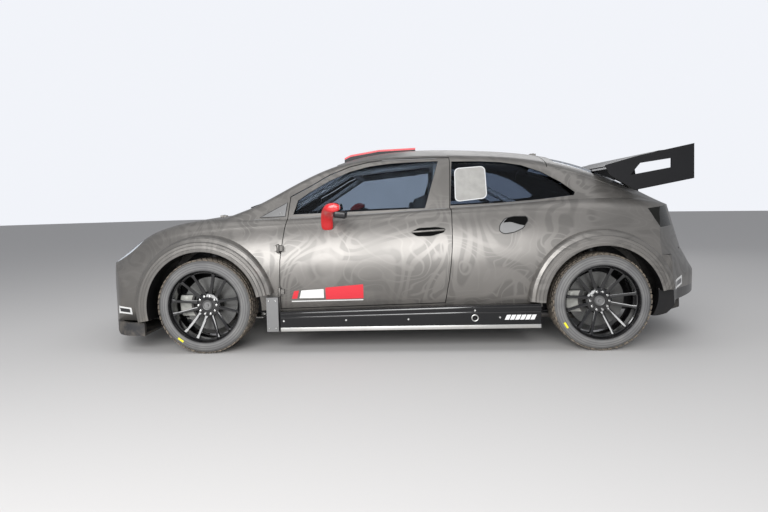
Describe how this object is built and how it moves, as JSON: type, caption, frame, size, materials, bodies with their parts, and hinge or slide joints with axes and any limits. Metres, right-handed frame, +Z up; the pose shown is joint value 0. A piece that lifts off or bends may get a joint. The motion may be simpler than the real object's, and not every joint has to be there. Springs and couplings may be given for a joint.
{
  "type": "rally car",
  "caption": "Two-door rally car with wide arches, roof scoop, rear wing and roll cage; doors, lids, wheels and steering move.",
  "frame": {"origin": "ground level under the middle of the car's overall length, on the centre plane", "axes": "+X along the car towards the tail (the nose is at -X), +Y towards the car's right side, +Z up"},
  "size_m": [4.2598, 2, 1.3619],
  "materials": {
    "body_paint": "satin grey wrap with swirls",
    "black_plastic": "matt black",
    "carbon": "glossy black composite",
    "clear_glass": "clear",
    "tinted_glass": "dark tint",
    "smoked_lens": "smoked red",
    "clear_lens": "clear",
    "red_paint": "gloss red",
    "cage_paint": "light grey",
    "seat_fabric": "black cloth",
    "cast_metal": "cast",
    "aluminium": "bare sheet",
    "black_steel": "black paint",
    "steel": "bright steel",
    "tyre": "black rubber, dusty",
    "gloss_black": "gloss black"
  },
  "bodies": {
    "chassis": {"body_shell": "body_paint", "front_fender_left": "body_paint", "front_fender_right": "body_paint", "front_bumper": "body_paint", "front_grille": "black_plastic", "front_splitter": "black_plastic", "rear_bumper": "body_paint", "rear_diffuser": "black_plastic", "windscreen": "clear_glass", "quarter_windows": "tinted_glass", "tail_lamps": "smoked_lens", "headlamps": "clear_lens", "side_skirts": "carbon", "mud_guards": "body_paint", "roof_scoop": "red_paint", "roll_cage": "cage_paint", "seats": "seat_fabric", "dashboard": "black_plastic", "engine": "cast_metal", "fuel_cell": "black_plastic", "skid_plate": "aluminium", "front_subframe": "black_steel", "rear_suspension": "black_steel", "exhaust": "steel"},
    "door_left": {"door_left": "body_paint", "door_glass_left": "clear_glass", "mirror_left": "red_paint"},
    "door_right": {"door_right": "body_paint", "door_glass_right": "clear_glass", "mirror_right": "red_paint"},
    "bonnet": {"bonnet": "body_paint"},
    "tailgate": {"tailgate": "body_paint", "rear_window": "tinted_glass", "rear_wing": "carbon"},
    "knuckle_left": {"knuckle_left": "black_steel"},
    "knuckle_right": {"knuckle_right": "black_steel"},
    "wheel_front_left": {"tyre_front_left": "tyre", "rim_front_left": "gloss_black", "brake_disc_front_left": "steel"},
    "wheel_front_right": {"tyre_front_right": "tyre", "rim_front_right": "gloss_black", "brake_disc_front_right": "steel"},
    "wheel_rear_left": {"tyre_rear_left": "tyre", "rim_rear_left": "gloss_black", "brake_disc_rear_left": "steel"},
    "wheel_rear_right": {"tyre_rear_right": "tyre", "rim_rear_right": "gloss_black", "brake_disc_rear_right": "steel"},
    "steering_wheel": {"steering_wheel": "black_plastic"}
  },
  "joints": [
    {"name": "steer_left", "type": "hinge", "parent": "chassis", "child": "knuckle_left", "pos_m": [-1.27, -0.666, 0.17], "axis": [0, 0.0887, 0.9961], "range_deg": [-30, 30]},
    {"name": "steer_right", "type": "hinge", "parent": "chassis", "child": "knuckle_right", "pos_m": [-1.27, 0.666, 0.17], "axis": [0, -0.0887, 0.9961], "range_deg": [-30, 30]},
    {"name": "spin_front_left", "type": "hinge", "parent": "knuckle_left", "child": "wheel_front_left", "pos_m": [-1.27, -0.7925, 0.31], "axis": [0, -1, 0], "continuous": true},
    {"name": "spin_front_right", "type": "hinge", "parent": "knuckle_right", "child": "wheel_front_right", "pos_m": [-1.27, 0.7925, 0.31], "axis": [0, -1, 0], "continuous": true},
    {"name": "spin_rear_left", "type": "hinge", "parent": "chassis", "child": "wheel_rear_left", "pos_m": [1.27, -0.7925, 0.31], "axis": [0, -1, 0], "continuous": true},
    {"name": "spin_rear_right", "type": "hinge", "parent": "chassis", "child": "wheel_rear_right", "pos_m": [1.27, 0.7925, 0.31], "axis": [0, -1, 0], "continuous": true},
    {"name": "open_door_left", "type": "hinge", "parent": "chassis", "child": "door_left", "pos_m": [-0.779, -0.868, 0.55], "axis": [0, 0, -1], "range_deg": [0, 65]},
    {"name": "open_door_right", "type": "hinge", "parent": "chassis", "child": "door_right", "pos_m": [-0.779, 0.868, 0.55], "axis": [0, 0, 1], "range_deg": [0, 65]},
    {"name": "open_bonnet", "type": "hinge", "parent": "chassis", "child": "bonnet", "pos_m": [-1.262, 0, 0.889], "axis": [0, 1, 0], "range_deg": [0, 60]},
    {"name": "open_tailgate", "type": "hinge", "parent": "chassis", "child": "tailgate", "pos_m": [0.99, 0, 1.298], "axis": [0, -1, 0], "range_deg": [0, 70]},
    {"name": "turn_steering_wheel", "type": "hinge", "parent": "chassis", "child": "steering_wheel", "pos_m": [-0.4, -0.37, 0.8], "axis": [0.9272, 0, 0.3746], "range_deg": [-300, 300]}
  ],
  "couplings": [
    {"joint": "steer_right", "follows": "steer_left", "ratio": 1},
    {"joint": "turn_steering_wheel", "follows": "steer_left", "ratio": 10}
  ]
}
